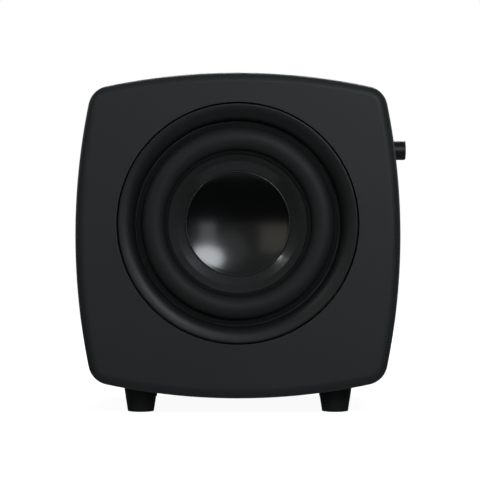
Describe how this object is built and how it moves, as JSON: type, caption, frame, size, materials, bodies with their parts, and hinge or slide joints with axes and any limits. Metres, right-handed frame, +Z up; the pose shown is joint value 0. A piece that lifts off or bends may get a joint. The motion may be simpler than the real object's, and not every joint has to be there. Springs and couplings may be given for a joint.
{
  "type": "subwoofer",
  "caption": "Compact powered subwoofer: sealed cabinet with bowed sides on tapered feet, front driver in a flush trim ring, level knob on the side and amplifier panel at the back.",
  "frame": {"origin": "on the floor under the middle of the object's box", "axes": "+Z up; the driver faces -Y; the level knob is on +X"},
  "size_m": [0.325, 0.314, 0.3275],
  "materials": {
    "cabinet_paint": "fibreboard in satin black lacquer",
    "trim_plastic": "semi-gloss black moulding",
    "black_plastic": "satin black",
    "gloss_plastic": "gloss black",
    "rubber": "soft black",
    "wood_board": "raw fibreboard",
    "cast_frame": "black-coated casting",
    "cone_pulp": "coated black pulp, semi-gloss",
    "spider_cloth": "resin-dipped cloth",
    "former_film": "kraft former",
    "copper_wire": "enamelled copper",
    "plated_steel": "zinc-plated",
    "ferrite": "matt sintered ferrite",
    "panel_metal": "fine-textured black powder coat",
    "sink_metal": "black anodised",
    "circuit_board": "solder-masked laminate",
    "transformer_tape": "yellow polyester tape",
    "felt": "loose grey felt",
    "cable_jacket": "smooth red jacket",
    "bezel_metal": "dark satin ring"
  },
  "bodies": {
    "cabinet": {"cabinet_shell": "cabinet_paint", "baffle_board": "wood_board", "rear_panel": "cabinet_paint", "window_brace": "wood_board", "damping_sheet_left": "felt", "damping_sheet_right": "felt", "trim_ring": "trim_plastic", "driver_basket": "cast_frame", "driver_gasket": "rubber", "surround": "rubber", "spider": "spider_cloth", "top_plate": "plated_steel", "magnet_ring": "ferrite", "pole_yoke": "plated_steel", "magnet_boot": "rubber", "terminal_block": "former_film", "tinsel_lead_upper": "copper_wire", "tinsel_lead_lower": "copper_wire", "amp_panel": "panel_metal", "heat_sink": "sink_metal", "amp_board": "circuit_board", "toroid_transformer": "transformer_tape", "filter_capacitor": "gloss_plastic", "mains_inlet": "gloss_plastic", "power_switch_housing": "gloss_plastic", "line_jack_left": "plated_steel", "line_jack_right": "plated_steel", "crossover_pot": "plated_steel", "phase_switch_body": "plated_steel", "level_pot": "plated_steel", "level_bezel": "bezel_metal", "speaker_lead": "cable_jacket", "driver_screw_1": "plated_steel", "amp_panel_screw_1": "plated_steel", "driver_screw_2": "plated_steel", "amp_panel_screw_2": "plated_steel", "driver_screw_3": "plated_steel", "amp_panel_screw_3": "plated_steel", "driver_screw_4": "plated_steel", "amp_panel_screw_4": "plated_steel", "foot_front_left": "black_plastic", "foot_pad_front_left": "rubber", "foot_screw_front_left": "plated_steel", "foot_front_right": "black_plastic", "foot_pad_front_right": "rubber", "foot_screw_front_right": "plated_steel", "foot_rear_left": "black_plastic", "foot_pad_rear_left": "rubber", "foot_screw_rear_left": "plated_steel", "foot_rear_right": "black_plastic", "foot_pad_rear_right": "rubber", "foot_screw_rear_right": "plated_steel"},
    "cone": {"cone": "cone_pulp", "dust_cap": "gloss_plastic", "coil_former": "former_film", "voice_coil": "copper_wire"},
    "level_knob": {"level_knob": "black_plastic"},
    "crossover_knob": {"crossover_knob": "black_plastic"},
    "power_rocker": {"power_rocker": "gloss_plastic"},
    "phase_slider": {"phase_slider": "gloss_plastic"}
  },
  "joints": [
    {"name": "cone_excursion", "type": "slide", "parent": "cabinet", "child": "cone", "axis": [0, -1, 0], "range_m": [-0.008, 0.008], "stiffness_N_per_m": 1500, "deforming": ["surround", "spider", "tinsel_lead_upper", "tinsel_lead_lower"]},
    {"name": "level_turn", "type": "hinge", "parent": "cabinet", "child": "level_knob", "pos_m": [0.15, -0.032, 0.2572], "axis": [1, 0, 0], "range_deg": [-150, 150]},
    {"name": "crossover_turn", "type": "hinge", "parent": "cabinet", "child": "crossover_knob", "pos_m": [-0.0516, 0.15, 0.1752], "axis": [0, 1, 0], "range_deg": [-150, 150]},
    {"name": "power_rock", "type": "hinge", "parent": "cabinet", "child": "power_rocker", "pos_m": [-0.0206, 0.1409, 0.0932], "axis": [1, 0, 0], "range_deg": [-20, 0]},
    {"name": "phase_slide", "type": "slide", "parent": "cabinet", "child": "phase_slider", "axis": [1, 0, 0], "range_m": [0, 0.0044]}
  ]
}
